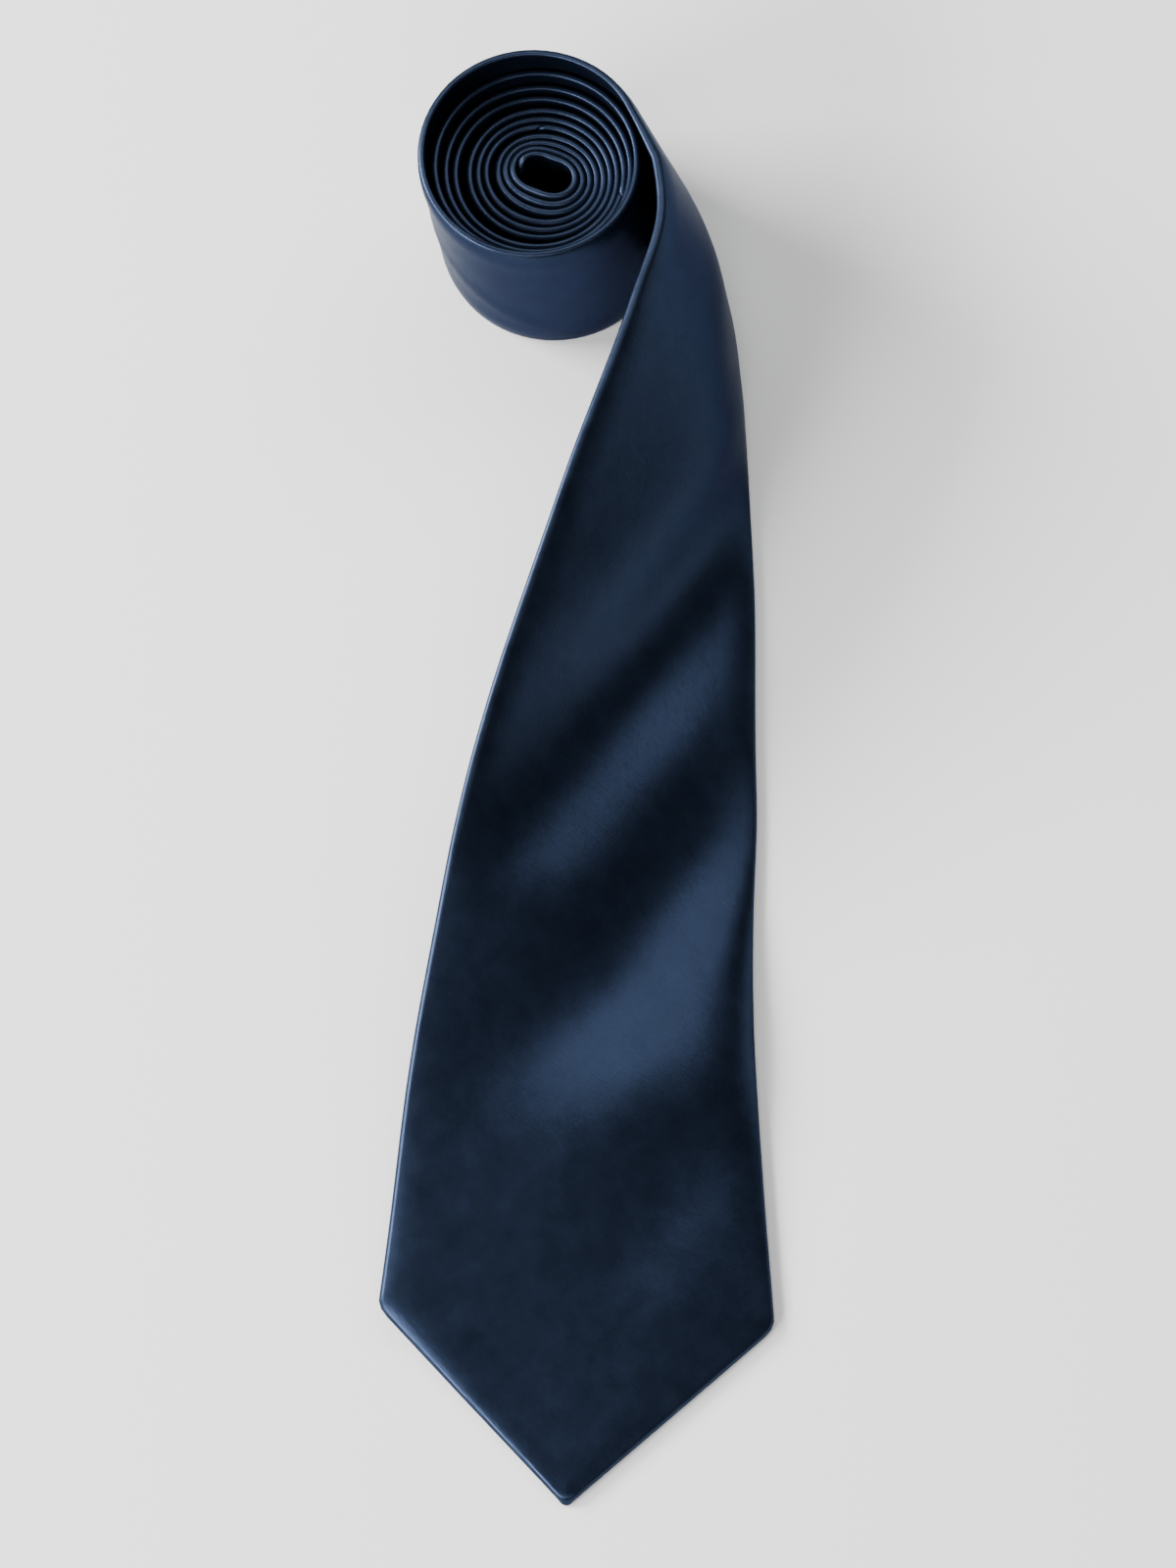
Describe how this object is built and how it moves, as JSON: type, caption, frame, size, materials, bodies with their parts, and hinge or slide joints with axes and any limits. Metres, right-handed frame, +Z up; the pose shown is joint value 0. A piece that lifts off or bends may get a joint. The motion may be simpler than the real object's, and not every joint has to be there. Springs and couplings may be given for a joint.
{
  "type": "necktie",
  "caption": "Dark satin necktie, its wide pointed blade laid flat and the rest rolled up on edge behind it.",
  "frame": {"origin": "on the table, below the middle of the whole tie's box", "axes": "+Y from the blade's point towards the roll, +X to the right of someone looking along +Y, +Z up from the table"},
  "size_m": [0.0854, 0.3264, 0.0559],
  "materials": {
    "satin": "dark navy satin, soft sheen",
    "interlining": "brushed wool, matt",
    "lining": "smooth lining cloth",
    "thread": "twisted sewing thread",
    "label": "plain woven ribbon, no lettering",
    "care_ribbon": "plain white woven ribbon, no lettering"
  },
  "bodies": {
    "tie": {"blade_shell": "satin", "neck_shell": "satin", "tail_shell": "satin", "interlining": "interlining", "blade_tipping": "lining", "tail_tipping": "lining", "slip_stitch_thread": "thread", "blade_bar_tack": "thread", "tail_bar_tack": "thread", "keeper_loop": "satin", "keeper_stitch_lower": "thread", "keeper_stitch_upper": "thread", "woven_label": "label", "label_stitch_lower": "thread", "label_stitch_upper": "thread", "care_label_stitch": "thread"},
    "care_label": {"care_label": "care_ribbon"}
  },
  "joints": [
    {"name": "care_label_fold", "type": "hinge", "parent": "tie", "child": "care_label", "pos_m": [-0.00259, 0.00882, 0.01851], "axis": [0.1136, 0.9754, 0.1887], "range_deg": [-42, 112]}
  ]
}
